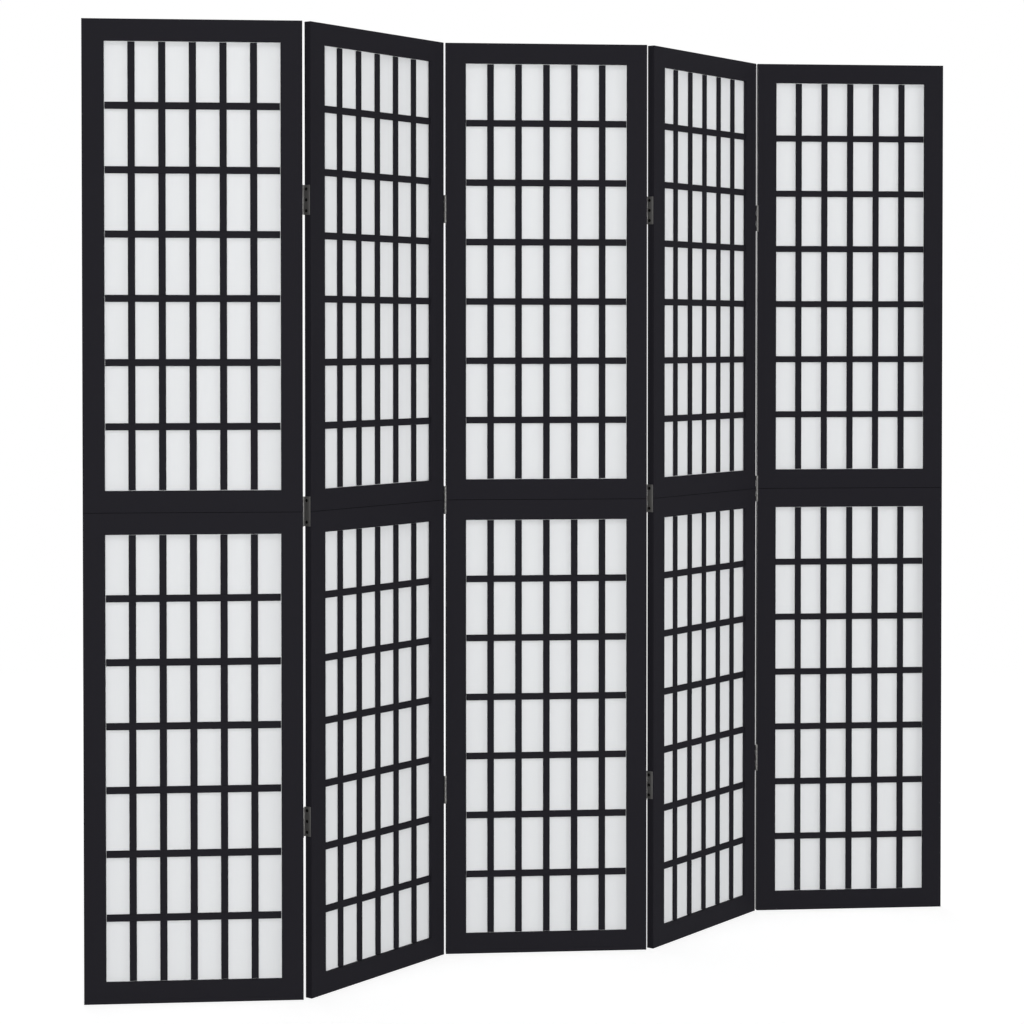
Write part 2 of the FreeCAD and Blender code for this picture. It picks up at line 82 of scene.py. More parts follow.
# Panel and its opening
PANEL_WIDTH = 400 * MM
STILE_WIDTH = 40 * MM
RAIL_WIDTH = 40 * MM
PANEL_HEIGHT = cad_box[1].z - cad_box[0].z
HALF_HEIGHT = PANEL_HEIGHT / 2
OPENING_WIDTH = PANEL_WIDTH - 2 * STILE_WIDTH
OPENING_HEIGHT = HALF_HEIGHT - 2 * RAIL_WIDTH

# Fabric sheet, with its edges in the frame's grooves
SHEET_THICKNESS = 0.4 * MM
SHEET_EDGE = 5.7 * MM
SHEET_WIDTH = OPENING_WIDTH + 2 * SHEET_EDGE
SHEET_HEIGHT = OPENING_HEIGHT + 2 * SHEET_EDGE
SHEET_SLACK = 0.25 * MM
SLACK_SPAN = 70 * MM
SHEET_STEP = 5 * MM

# Lattice strips on both faces of a sheet
FIELD_COLUMNS = 6
FIELD_ROWS = 7
STRIP_WIDTH = 13 * MM
STRIP_THICKNESS = 3.4 * MM
STRIP_END_GAP = 1 * MM
STRIP_ARRIS = 0.35 * MM
GLUE_LINE = 0.1 * MM
LAP_CLEARANCE = 0.1 * MM
COLUMN_PITCH = (OPENING_WIDTH + STRIP_WIDTH) / FIELD_COLUMNS
ROW_PITCH = OPENING_HEIGHT / FIELD_ROWS

# Butt hinges. A knuckle's neck reaches a little into the plate, by a share of its way from the axis.
BARREL_RADIUS = 2.5 * MM
BARREL_SIDES = 32
AXIS_TO_EDGE = 1.2 * MM
LEAF_THICKNESS = 0.9 * MM
PIN_CLEARANCE = 0.05 * MM
PIN_RADIUS = BARREL_RADIUS - LEAF_THICKNESS - PIN_CLEARANCE
LEAF_HEIGHT = 55 * MM
LEAF_REACH = 15.6 * MM
LEAF_ARRIS = 0.15 * MM
KNUCKLES = 5
KNUCKLE_GAP = 0.2 * MM
KNUCKLE_CLEARANCE = 0.4 * MM
NECK_REACH = 1.1
HINGE_INSET = 327 * MM
HINGE_HEIGHTS = (HINGE_INSET, HALF_HEIGHT, PANEL_HEIGHT - HINGE_INSET)

# Hinge screws. The crown's top and the point's tip are shares of the head's and the shank's radius, and a
# seat's overcut at each face is a share of the leaf's thickness.
SCREW_END_MARGIN = 7.5 * MM
SCREW_SETBACK = 6.9 * MM
SCREW_SPACING = LEAF_HEIGHT / 2 - SCREW_END_MARGIN
SCREW_SIDES = 24
HEAD_RADIUS = 3 * MM
HEAD_CROWN = 0.2 * MM
CROWN_TOP = 0.72
SHANK_RADIUS = 1.5 * MM
SCREW_LENGTH = 14 * MM
SCREW_POINT = 3 * MM
POINT_TIP = 0.05
SCREW_CLEARANCE = 0.05 * MM
SEAT_OVERCUT = 0.01
RECESS_SPAN = 3 * MM
RECESS_WIDTH = 0.7 * MM
RECESS_DEPTH = 0.6 * MM

# Easing of edges, smooth shading and clean-up of meshes
ARRIS_SEGMENTS = 2
ARRIS_ANGLE = math.radians(40)
SHARP_ANGLE = math.radians(30)
SLIVER = 0.001 * MM

PANELS = (1, 2, 3, 4, 5)
HALVES = ("lower", "upper")
# The joints open the screen flat at their lower limit, so that is the bend between panels at rest.
FOLD = math.radians(-frame["joints"][0]["range_deg"][0])


# Node trees

class Wire:
    """A socket of a node tree. Arithmetic on it adds Math nodes, and node() adds any other node."""

    def __init__(self, tree, socket=None):
        self.tree = tree
        self.socket = socket

    def node(self, kind, settings=None, sockets=None, out=0):
        """Adds a node, first its settings, then its sockets' values or links. Gives one of its outputs."""
        made = self.tree.nodes.new(kind)
        for name, setting in (settings or {}).items():
            setattr(made, name, setting)
        for name, value in (sockets or {}).items():
            self.plug(pick(made.inputs, name), value)
        return Wire(self.tree, pick(made.outputs, out) if made.outputs else None)

    def plug(self, socket, value):
        """Links one wire or several to a socket, or sets the socket's own value."""
        several = value if isinstance(value, list) else [value]
        for item in several:
            if isinstance(item, Wire):
                self.tree.links.new(item.socket, socket)
            else:
                socket.default_value = item

    def math(self, operation, *values):
        return self.node("ShaderNodeMath", {"operation": operation}, dict(enumerate(values)))

    def vector(self, x=0.0, y=0.0, z=0.0):
        return self.node("ShaderNodeCombineXYZ", sockets={"X": x, "Y": y, "Z": z})

    def part(self, vector, axis):
        return self.node("ShaderNodeSeparateXYZ", sockets={"Vector": vector}, out=axis)

    def __add__(self, other):
        return self.math("ADD", self, other)

    def __sub__(self, other):
        return self.math("SUBTRACT", self, other)

    def __rsub__(self, other):
        return self.math("SUBTRACT", other, self)

    def __mul__(self, other):
        return self.math("MULTIPLY", self, other)

    def __truediv__(self, other):
        return self.math("DIVIDE", self, other)

    __radd__ = __add__
    __rmul__ = __mul__


def pick(sockets, name):
    """A socket by its number, or by its name among those in use."""
    if isinstance(name, int):
        return sockets[name]
    return next(socket for socket in sockets if socket.name == name and socket.enabled)


# Materials

NOISE_ROUGHNESS = 0.55


def start_material(name):
    """A new material with an empty tree, and the wire that adds its nodes."""
    material = bpy.data.materials.new(name)
    material.use_nodes = True
    material.node_tree.nodes.clear()
    return material, Wire(material.node_tree)


def end_material(wire, sockets):
    """Puts the surface's values and wires on one shader."""
    shader = wire.node("ShaderNodeBsdfPrincipled", sockets=sockets)
    wire.node("ShaderNodeOutputMaterial", sockets={"Surface": shader})


def in_cells(wire, place, size, turn=0.0):
    """A place counted in cells of a size along the axes of a frame that is turned about the upright."""
    return wire.node("ShaderNodeMapping", {"vector_type": "TEXTURE"},
                     {"Vector": place, "Rotation": (0, 0, turn), "Scale": size})


def drawn_out(wire, size, turn=0.0):
    """Object coordinates in a turned panel, in cells of a size along its width, depth and height."""
    return in_cells(wire, wire.node("ShaderNodeTexCoord", out="Object"), size, turn)


def clouds(wire, place, detail=3.0):
    """Soft noise from 0 to 1, one cell wide."""
    return wire.node("ShaderNodeTexNoise", sockets={
        "Vector": place, "Scale": 1.0, "Detail": detail, "Roughness": NOISE_ROUGHNESS})


def blend(wire, share, first, second):
    """A colour between two."""
    return wire.node("ShaderNodeMix", {"data_type": "RGBA"}, {"Factor": share, "A": first, "B": second},
                     out="Result")


def relief(wire, height, depth):
    """A bumped normal from a height of 0 to 1 over a real depth."""
    return wire.node("ShaderNodeBump", sockets={"Strength": 1.0, "Distance": depth, "Height": height})


LACQUER_DEEP = (0.0132, 0.0125, 0.0162, 1)
LACQUER_THIN = (0.0166, 0.0160, 0.0198, 1)
LACQUER_ROUGHNESS = 0.52
LACQUER_SPECULAR = 0.025
FIBRE_WIDTH = 0.7 * MM
FIBRE_LENGTH = 55 * MM
FIBRE_DEPTH = 0.01 * MM
FIBRE_TONE = 0.6
FIBRE_ROUGHNESS = 0.08
BRUSH_SPAN = 60 * MM
BRUSH_TONE = 0.4
BRUSH_ROUGHNESS = 0.12
# Painted shade: a thin line, darker than the lacquer, where a panel's two halves meet. It stands for the
# shade in the crease between them.
PAINTED_SEAM_SHADE = (0.0015, 0.0015, 0.0018, 1)
SEAM_SHADE_WIDTH = 0.9 * MM


def painted_seam_shade(wire):
    """1 on the thin line of painted shade where a panel's two halves meet, and 0 elsewhere."""
    height = wire.part(wire.node("ShaderNodeTexCoord", out="Object"), "Z")
    return wire.math("LESS_THAN", wire.math("ABSOLUTE", height - HALF_HEIGHT), SEAM_SHADE_WIDTH / 2)


def black_lacquer(name, turn, upright):
    """Matt black lacquer on wood whose grain runs up a turned panel or along its width, with a thin line of
    painted shade where the halves meet.
    """
    material, wire = start_material(name)
    along, across = FIBRE_LENGTH, FIBRE_WIDTH
    grain = (across, across, along) if upright else (along, across, across)
    fibres = clouds(wire, drawn_out(wire, grain, turn), detail=4.0)
    patches = clouds(wire, drawn_out(wire, (BRUSH_SPAN, BRUSH_SPAN, BRUSH_SPAN), turn), detail=2.0)
    tone = fibres * FIBRE_TONE + patches * BRUSH_TONE
    lacquer = blend(wire, tone, LACQUER_DEEP, LACQUER_THIN)
    end_material(wire, {
        # Painted shade along the seam between the halves
        "Base Color": blend(wire, painted_seam_shade(wire), lacquer, PAINTED_SEAM_SHADE),
        "Roughness": LACQUER_ROUGHNESS + BRUSH_ROUGHNESS * patches + FIBRE_ROUGHNESS * fibres,
        "Specular IOR Level": LACQUER_SPECULAR,
        "Normal": relief(wire, fibres, FIBRE_DEPTH),
    })
    return material


def panel_lacquers(parity, turn):
    """The lacquer for the upright and the level pieces of the panels that have this turn."""
    return {run: black_lacquer(f"black_lacquer_{parity}_{run}", turn, run == "upright")
            for run in ("upright", "level")}


CLOTH_SHADE = (0.760, 0.775, 0.790, 1)
CLOTH_LIGHT = (0.815, 0.825, 0.835, 1)
CLOTH_ROUGHNESS = 0.92
CLOTH_SPECULAR = 0.15
CLOTH_SHEEN = 0.05
THREAD = 0.5 * MM
THREAD_DEPTH = 0.03 * MM
SLUB_WIDTH = 1.1 * MM
SLUB_LENGTH = 60 * MM
SLUB_SMOOTHNESS = 0.1
WARP_TONE, WEFT_TONE, WEAVE_TONE = 0.5, 0.2, 0.3
WARP_RELIEF, WEAVE_RELIEF = 0.4, 0.6


def white_cloth():
    """Plain-woven white cloth with faint slubs, on the sheet's own map in metres."""
    material, wire = start_material("white_cloth")
    flat = wire.node("ShaderNodeTexCoord", out="UV")
    threads = in_cells(wire, flat, (THREAD / math.pi, THREAD / math.pi, 1))
    across = wire.math("SINE", wire.part(threads, "X"))
    up = wire.math("SINE", wire.part(threads, "Y"))
    weave = 0.5 + 0.5 * (across * up)
    warp = clouds(wire, in_cells(wire, flat, (SLUB_WIDTH, SLUB_LENGTH, 1)))
    weft = clouds(wire, in_cells(wire, flat, (SLUB_LENGTH, SLUB_WIDTH, 1)))
    tone = warp * WARP_TONE + weft * WEFT_TONE + weave * WEAVE_TONE
    end_material(wire, {
        "Base Color": blend(wire, tone, CLOTH_SHADE, CLOTH_LIGHT),
        "Roughness": CLOTH_ROUGHNESS - SLUB_SMOOTHNESS * warp,
        "Specular IOR Level": CLOTH_SPECULAR,
        "Sheen Weight": CLOTH_SHEEN,
        "Normal": relief(wire, weave * WEAVE_RELIEF + warp * WARP_RELIEF, THREAD_DEPTH),
    })
    return material


BRONZE_DARK = (0.106, 0.104, 0.101, 1)
BRONZE_RUBBED = (0.148, 0.146, 0.144, 1)
SCREW_DARK = (0.006, 0.006, 0.006, 1)
SCREW_RUBBED = (0.018, 0.017, 0.016, 1)
STEEL_DULL = (0.200, 0.195, 0.185, 1)
STEEL_BRIGHT = (0.330, 0.325, 0.310, 1)
SCRATCH_WIDTH = 0.25 * MM
SCRATCH_LENGTH = 8 * MM
SCRATCH_DEPTH = 0.004 * MM
SCRATCH_TONE = 0.4
SCRATCH_SMOOTHNESS = 0.08
RUB_WIDTH = 5 * MM
RUB_HEIGHT = 7 * MM
RUB_TONE = 0.6
RUB_ROUGHNESS = 0.18


def dark_metal(name, dark, rubbed, metallic, roughness):
    """Darkened metal, rubbed lighter in fine upright scratches and soft patches."""
    material, wire = start_material(name)
    scratches = clouds(wire, drawn_out(wire, (SCRATCH_WIDTH, SCRATCH_WIDTH, SCRATCH_LENGTH)), detail=3.0)
    patches = clouds(wire, drawn_out(wire, (RUB_WIDTH, RUB_WIDTH, RUB_HEIGHT)), detail=2.0)
    tone = scratches * SCRATCH_TONE + patches * RUB_TONE
    end_material(wire, {
        "Base Color": blend(wire, tone, dark, rubbed),
        "Metallic": metallic,
        "Roughness": roughness + RUB_ROUGHNESS * patches - SCRATCH_SMOOTHNESS * scratches,
        "Normal": relief(wire, scratches, SCRATCH_DEPTH),
    })
    return material


WOOD_PALE = (0.560, 0.395, 0.235, 1)
WOOD_DARK = (0.400, 0.255, 0.135, 1)
WOOD_ROUGHNESS = 0.6
GRAIN_WIDTH = 0.5 * MM
GRAIN_LENGTH = 14 * MM
GRAIN_DEPTH = 0.03 * MM
GRAIN_TONE = 0.5
GRAIN_ROUGHNESS = 0.2
RING_WIDTH = 2.5 * MM
RING_LENGTH = 40 * MM
RING_TONE = 0.5


def bare_wood():
    """Pale dowel wood with upright grain."""
    material, wire = start_material("bare_dowel_wood")
    fibres = clouds(wire, drawn_out(wire, (GRAIN_WIDTH, GRAIN_WIDTH, GRAIN_LENGTH)), detail=4.0)
    rings = clouds(wire, drawn_out(wire, (RING_WIDTH, RING_WIDTH, RING_LENGTH)), detail=1.0)
    end_material(wire, {
        "Base Color": blend(wire, fibres * GRAIN_TONE + rings * RING_TONE, WOOD_DARK, WOOD_PALE),
        "Roughness": WOOD_ROUGHNESS + GRAIN_ROUGHNESS * fibres,
        "Normal": relief(wire, fibres, GRAIN_DEPTH),
    })
    return material


# Geometry trees

FLOAT = "NodeSocketFloat"
INT = "NodeSocketInt"
MATERIAL = "NodeSocketMaterial"
GEOMETRY = "NodeSocketGeometry"


def start_tree(name, inputs):
    """An empty geometry tree, with a wire from each of its named inputs."""
    tree = bpy.data.node_groups.new(name, "GeometryNodeTree")
    for label, kind in inputs.items():
        tree.interface.new_socket(label, in_out="INPUT", socket_type=kind)
    tree.interface.new_socket("Geometry", in_out="OUTPUT", socket_type=GEOMETRY)
    entry = tree.nodes.new("NodeGroupInput")
    return Wire(tree), {label: Wire(tree, entry.outputs[label]) for label in inputs}


def end_tree(wire, geometry, material=None):
    """Makes instances real, sets the material unless the pieces have theirs, and ends the tree."""
    real = wire.node("GeometryNodeRealizeInstances", sockets={"Geometry": geometry})
    if material:
        real = painted(wire, real, material)
    wire.node("NodeGroupOutput", sockets={"Geometry": real})
    return wire.tree


def painted(wire, geometry, material):
    return wire.node("GeometryNodeSetMaterial", sockets={"Geometry": geometry, "Material": material})


def bar(wire, x, y, z):
    return wire.node("GeometryNodeMeshCube", sockets={"Size": wire.vector(x, y, z)}, out="Mesh")


def rod(wire, radius, length, sides):
    return wire.node("GeometryNodeMeshCylinder",
                     sockets={"Vertices": sides, "Radius": radius, "Depth": length}, out="Mesh")


def taper(wire, bottom, top, length, sides):
    return wire.node("GeometryNodeMeshCone", sockets={
        "Vertices": sides, "Radius Bottom": bottom, "Radius Top": top, "Depth": length}, out="Mesh")


def moved(wire, geometry, x=0.0, y=0.0, z=0.0, turn=(0, 0, 0)):
    return wire.node("GeometryNodeTransform", sockets={
        "Geometry": geometry, "Translation": wire.vector(x, y, z), "Rotation": turn})


def joined(wire, *geometries):
    return wire.node("GeometryNodeJoinGeometry", sockets={"Geometry": list(geometries)})


def row_of(wire, piece, count, step):
    """Copies of a piece in a row about the origin, a vector step apart."""
    lead = wire.node("ShaderNodeVectorMath", {"operation": "SCALE"},
                     {"Vector": step, "Scale": 0.5 - 0.5 * count})
    line = wire.node("GeometryNodeMeshLine", sockets={
        "Count": count, "Start Location": lead, "Offset": step})
    copies = wire.node("GeometryNodeInstanceOnPoints", sockets={"Points": line, "Instance": piece})
    return wire.node("GeometryNodeRealizeInstances", sockets={"Geometry": copies})


def cut(wire, stock, *tools):
    return wire.node("GeometryNodeMeshBoolean", {"operation": "DIFFERENCE", "solver": "EXACT"},
                     {0: stock, 1: list(tools)})


def fused(wire, *pieces):
    return wire.node("GeometryNodeMeshBoolean", {"operation": "UNION", "solver": "EXACT"},
                     {1: list(pieces)})


# Objects and meshes

def in_scene(name, data):
    """A new object, linked to the scene."""
    thing = bpy.data.objects.new(name, data)
    bpy.context.scene.collection.objects.link(thing)
    return thing


def made_plain(seed):
    """The plain mesh that an object's modifiers make. The object itself is taken away."""
    graph = bpy.context.evaluated_depsgraph_get()
    mesh = bpy.data.meshes.new_from_object(seed.evaluated_get(graph), depsgraph=graph)
    bpy.data.objects.remove(seed)
    return mesh


def grow(name, tree, inputs, arris=None, points=None):
    """The plain mesh that a tree grows, on given points or on none, with its edges eased."""
    seed = in_scene(name, points or bpy.data.meshes.new(name))
    growth = seed.modifiers.new("growth", "NODES")
    growth.node_group = tree
    for item in tree.interface.items_tree:
        if item.in_out == "INPUT" and item.name in inputs:
            growth[item.identifier] = inputs[item.name]
    if arris:
        easing = seed.modifiers.new("easing", "BEVEL")
        easing.width = arris
        easing.segments = ARRIS_SEGMENTS
        easing.limit_method = "ANGLE"
        easing.angle_limit = ARRIS_ANGLE
    return without_slivers(made_plain(seed))


def without_slivers(mesh):
    """The mesh without the faces of no area that cuts and easing leave."""
    shape = bmesh.new()
    shape.from_mesh(mesh)
    bmesh.ops.dissolve_degenerate(shape, dist=SLIVER, edges=shape.edges)
    shape.to_mesh(mesh)
    shape.free()
    return mesh


def rounded(mesh):
    """Smooth shading on round stretches, with sharp edges kept."""
    mesh.shade_smooth()
    mesh.set_sharp_from_angle(angle=SHARP_ANGLE)
    return mesh


# Places of the panels and hinges

def panel_place(panel):
    """The transform from a panel's own frame to its place at rest."""
    low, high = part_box(f"panel_{panel}_lower_fabric")
    middle = (low + high) / 2
    return Matrix.Translation((middle.x, middle.y, 0)) @ Matrix.Rotation(panel_turn(panel), 4, "Z")


def panel_turn(panel):
    return FOLD / 2 if panel % 2 == 0 else -FOLD / 2


def hinge_axes(panel):
    """Where a panel's hinge axes stand in plan, in its own frame."""
    home = panel_place(panel).inverted()
    return [home @ Vector((*joint["pos_m"][:2], 0)) for joint in frame["joints"]
            if f"panel_{panel}" in (joint["parent"], joint["child"])]


def add_piece(name, mesh, panel, slot, *nodes):
    """Sets a mesh made in a panel's frame in that panel's place, to stand for some of its solids."""
    mesh.transform(panel_place(panel))
    piece = in_scene(name, mesh)
    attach(piece, f"panel_{panel}")
    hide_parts(*nodes)
    return piece


# Lattice strips

def lattice_tree():
    """The half-lapped strips on both faces of a panel's two sheets, about the panel's middle."""
    wire, size = start_tree("lattice", {
        "Opening Width": FLOAT, "Opening Height": FLOAT, "Half Height": FLOAT, "Columns": INT, "Rows": INT,
        "Column Pitch": FLOAT, "Row Pitch": FLOAT, "Strip Width": FLOAT, "Strip Thickness": FLOAT,
        "End Gap": FLOAT, "Lap Clearance": FLOAT, "Stand Off": FLOAT, "Upright Paint": MATERIAL,
        "Cross Paint": MATERIAL})
    width, thickness, clearance = size["Strip Width"], size["Strip Thickness"], size["Lap Clearance"]
    lap_width = width + 2 * clearance
    lap_middle = (thickness - clearance) / 2
    uprights, crosses = size["Columns"] - 1, size["Rows"] - 1
    column_step = wire.vector(x=size["Column Pitch"])
    row_step = wire.vector(z=size["Row Pitch"])

    upright = bar(wire, width, thickness, size["Opening Height"] - 2 * size["End Gap"])
    laps = row_of(wire, bar(wire, 2 * width, thickness, lap_width), crosses, row_step)
    upright = cut(wire, upright, moved(wire, laps, y=-1 * lap_middle))
    cross = bar(wire, size["Opening Width"] - 2 * size["End Gap"], thickness, width)
    laps = row_of(wire, bar(wire, lap_width, thickness, 2 * width), uprights, column_step)
    cross = cut(wire, cross, moved(wire, laps, y=lap_middle))

    face = joined(wire, painted(wire, row_of(wire, upright, uprights, column_step), size["Upright Paint"]),
                  painted(wire, row_of(wire, cross, crosses, row_step), size["Cross Paint"]))
    front = moved(wire, face, y=-1 * (size["Stand Off"] + thickness / 2))
    both = joined(wire, front, moved(wire, front, turn=(0, 0, math.pi)))
    halves = row_of(wire, both, 2, wire.vector(z=size["Half Height"]))
    return end_tree(wire, moved(wire, halves, z=size["Half Height"]))


def add_lattice(panel, tree, paints):
    """A panel's strips, both halves in one piece."""
    name = f"panel_{panel}_lattice_strips"
    mesh = grow(name, tree, {
        "Opening Width": OPENING_WIDTH, "Opening Height": OPENING_HEIGHT, "Half Height": HALF_HEIGHT,
        "Columns": FIELD_COLUMNS, "Rows": FIELD_ROWS, "Column Pitch": COLUMN_PITCH, "Row Pitch": ROW_PITCH,
        "Strip Width": STRIP_WIDTH, "Strip Thickness": STRIP_THICKNESS, "End Gap": STRIP_END_GAP,
        "Lap Clearance": LAP_CLEARANCE, "Stand Off": SHEET_THICKNESS / 2 + GLUE_LINE,
        "Upright Paint": paints["upright"], "Cross Paint": paints["level"]}, arris=STRIP_ARRIS)
    add_piece(name, mesh, panel, "black_lattice_wood",
              *[f"panel_{panel}_{half}_lattice" for half in HALVES])


# Fabric sheets

def slack(x, z, seed):
    """How far the sheet stands off its plane: a little within each field, and nothing under the strips."""
    if abs(x) > OPENING_WIDTH / 2 or abs(z) > OPENING_HEIGHT / 2:
        return 0.0
    across = math.cos(math.pi * (x / COLUMN_PITCH - (FIELD_COLUMNS - 1) % 2 / 2))
    up = math.cos(math.pi * (z / ROW_PITCH))
    lift = noise.noise(Vector((x / SLACK_SPAN, z / SLACK_SPAN, seed)))
    return SHEET_SLACK * lift * (across * up) ** 2


def sheet_mesh(name, seed, half, cloth):
    """A closed sheet in its opening, with a map in metres from its lower left corner."""
    across = round(SHEET_WIDTH / SHEET_STEP)
    up = round(SHEET_HEIGHT / SHEET_STEP)
    middle = HALF_HEIGHT * (0.5 + HALVES.index(half))
    flat = [((column / across - 0.5) * SHEET_WIDTH, (row / up - 0.5) * SHEET_HEIGHT)
            for row in range(up + 1) for column in range(across + 1)]
    corners = [row * (across + 1) + column for row in range(up) for column in range(across)]
    mesh = bpy.data.meshes.new(name)
    mesh.from_pydata([(x, slack(x, z, seed), middle + z) for x, z in flat], [],
                     [(c, c + 1, c + across + 2, c + across + 1) for c in corners])
    layer = mesh.uv_layers.new(name="flat_cloth")
    for loop in mesh.loops:
        x, z = flat[loop.vertex_index]
        layer.data[loop.index].uv = (x + SHEET_WIDTH / 2, z + SHEET_HEIGHT / 2)
    mesh.materials.append(cloth)
    mesh.shade_smooth()
    return thickened(name, mesh)


def thickened(name, mesh):
    """The sheet with its real thickness, as a plain mesh."""
    seed = in_scene(name, mesh)
    wall = seed.modifiers.new("wall", "SOLIDIFY")
    wall.thickness = SHEET_THICKNESS
    wall.offset = 0
    return made_plain(seed)


def add_sheets(panel, cloth):
    """A panel's lower and upper sheet, each with a slack of its own."""
    for half in HALVES:
        name = f"panel_{panel}_{half}_cloth"
        mesh = sheet_mesh(name, 2 * panel + HALVES.index(half), half, cloth)
        sheet = add_piece(name, mesh, panel, "white_fabric", f"panel_{panel}_{half}_fabric")


# Hinges

def hinge_points(name, places):
    """A mesh of bare points that carry the turn of what stands on each, and whether it is at the seam."""
    mesh = bpy.data.meshes.new(name)
    mesh.from_pydata([place for place, turn in places], [], [])
    mesh.attributes.new("turn", "FLOAT_VECTOR", "POINT")
    mesh.attributes.new("at_seam", "BOOLEAN", "POINT")
    for index, (place, turn) in enumerate(places):
        mesh.attributes["turn"].data[index].vector = turn
        mesh.attributes["at_seam"].data[index].value = place[2] == HALF_HEIGHT
    return mesh


def on_points(wire, points, piece, selection=None):
    """A piece on each selected point, turned as the point says."""
    sockets = {"Points": points, "Instance": piece, "Rotation": on_point(wire, "turn", "FLOAT_VECTOR")}
    if selection:
        sockets["Selection"] = selection
    return wire.node("GeometryNodeInstanceOnPoints", sockets=sockets)


def on_point(wire, name, kind):
    """What a point carries under a name."""
    return wire.node("GeometryNodeInputNamedAttribute", {"data_type": kind}, {"Name": name}, out="Attribute")


def leaf_turn(axis):
    """The half turn that takes a leaf made for a left edge with its barrel in front to this axis."""
    left, front = axis.x < 0, axis.y < 0
    if left:
        return (0, 0, 0) if front else (math.pi, 0, 0)
    return (0, math.pi, 0) if front else (0, 0, math.pi)


def leaf_places(panel):
    """The middle of each leaf's barrel, and the leaf's turn."""
    return [((axis.x, axis.y, height), leaf_turn(axis))
            for axis in hinge_axes(panel) for height in HINGE_HEIGHTS]


def screw_places(panel):
    """Each screw's place on the wood and its turn. A leaf at the seam has no screw in its middle."""
    places = []
    for axis in hinge_axes(panel):
        side = math.copysign(1, axis.x)
        inward = -math.copysign(SCREW_SETBACK, axis.y)
        for height in HINGE_HEIGHTS:
            for row in ((-1, 1) if height == HALF_HEIGHT else (-1, 0, 1)):
                spot = (side * PANEL_WIDTH / 2, axis.y + inward, height + row * SCREW_SPACING)
                places.append((spot, (0, 0, math.pi if side > 0 else 0)))
    return places


def leaf_tree():
    """Hinge leaves for a left edge, with the barrel's axis on Z and the plate reaching back along Y."""
    wire, size = start_tree("hinge_leaves", {
        "Points": GEOMETRY, "Leaf Height": FLOAT, "Leaf Reach": FLOAT, "Leaf Thickness": FLOAT,
        "Barrel Radius": FLOAT, "Axis To Edge": FLOAT, "Knuckle Pitch": FLOAT, "Knuckle Gap": FLOAT,
        "Knuckle Clearance": FLOAT, "Own Knuckles": INT, "Screw Setback": FLOAT, "Screw Spacing": FLOAT,
        "Head Radius": FLOAT, "Shank Radius": FLOAT, "Metal": MATERIAL})
    radius, thickness = size["Barrel Radius"], size["Leaf Thickness"]
    bore = radius - thickness
    plate_face = size["Axis To Edge"] - thickness
    plate_middle = plate_face + thickness / 2
    clear = radius + size["Knuckle Clearance"]
    reach = size["Leaf Reach"] - clear
    plate = bar(wire, thickness, reach, size["Leaf Height"])
    plate = moved(wire, plate, x=plate_middle, y=clear + reach / 2)

    knuckle_height = size["Knuckle Pitch"] - size["Knuckle Gap"]
    neck = bar(wire, thickness, clear * NECK_REACH, knuckle_height)
    neck = moved(wire, neck, x=plate_middle, y=clear * (NECK_REACH / 2))
    knuckle = fused(wire, rod(wire, radius, knuckle_height, BARREL_SIDES), neck)
    step = wire.vector(z=2 * size["Knuckle Pitch"])
    knuckles = row_of(wire, knuckle, size["Own Knuckles"], step)
    drill = rod(wire, bore, 2 * size["Leaf Height"], BARREL_SIDES)
    rolled = cut(wire, fused(wire, plate, knuckles), drill)

    seat_depth = thickness * (1 + 2 * SEAT_OVERCUT)
    seat = taper(wire, size["Head Radius"], size["Shank Radius"], seat_depth, SCREW_SIDES)
    seat = moved(wire, seat, z=thickness * -SEAT_OVERCUT)
    seat = moved(wire, seat, x=plate_face, y=size["Screw Setback"], turn=(0, math.pi / 2, 0))
    spacing = size["Screw Spacing"]
    seam_leaf = cut(wire, rolled, row_of(wire, seat, 2, wire.vector(z=2 * spacing)))
    outer_leaf = cut(wire, rolled, row_of(wire, seat, 3, wire.vector(z=spacing)))
    at_seam = on_point(wire, "at_seam", "BOOLEAN")
    elsewhere = wire.node("FunctionNodeBooleanMath", {"operation": "NOT"}, {0: at_seam})
    leaves = joined(wire, on_points(wire, size["Points"], seam_leaf, at_seam),
                    on_points(wire, size["Points"], outer_leaf, elsewhere))
    return end_tree(wire, leaves, size["Metal"])


def screw_tree():
    """Countersunk screws along X with a cross recess in a low crown. The wood's surface is at x = 0."""
    wire, size = start_tree("hinge_screws", {
        "Points": GEOMETRY, "Head Radius": FLOAT, "Head Height": FLOAT, "Crown": FLOAT,
        "Shank Radius": FLOAT, "Length": FLOAT, "Point Length": FLOAT, "Recess Span": FLOAT,
        "Recess Width": FLOAT, "Recess Depth": FLOAT, "Metal": MATERIAL})
    head, shank, height = size["Head Radius"], size["Shank Radius"], size["Head Height"]
    crown, point = size["Crown"], size["Point Length"]
    shank_length = size["Length"] - height - point
    cone = moved(wire, taper(wire, head, shank, height, SCREW_SIDES), z=-1 * height)
    dome = taper(wire, head * CROWN_TOP, head, crown, SCREW_SIDES)
    dome = moved(wire, dome, z=-1 * (height + crown))
    stem = moved(wire, rod(wire, shank, shank_length, SCREW_SIDES), z=shank_length / 2)
    tip = moved(wire, taper(wire, shank, shank * POINT_TIP, point, SCREW_SIDES), z=shank_length)
    screw = fused(wire, cone, dome, stem, tip)
    slot_height = size["Recess Depth"] + crown
    slot_middle = size["Recess Depth"] / 2 - height - crown
    upright = moved(wire, bar(wire, size["Recess Width"], size["Recess Span"], slot_height), z=slot_middle)
    level = moved(wire, bar(wire, size["Recess Span"], size["Recess Width"], slot_height), z=slot_middle)
    screw = cut(wire, screw, fused(wire, upright, level))
    screw = moved(wire, screw, turn=(0, math.pi / 2, 0))
    return end_tree(wire, on_points(wire, size["Points"], screw), size["Metal"])


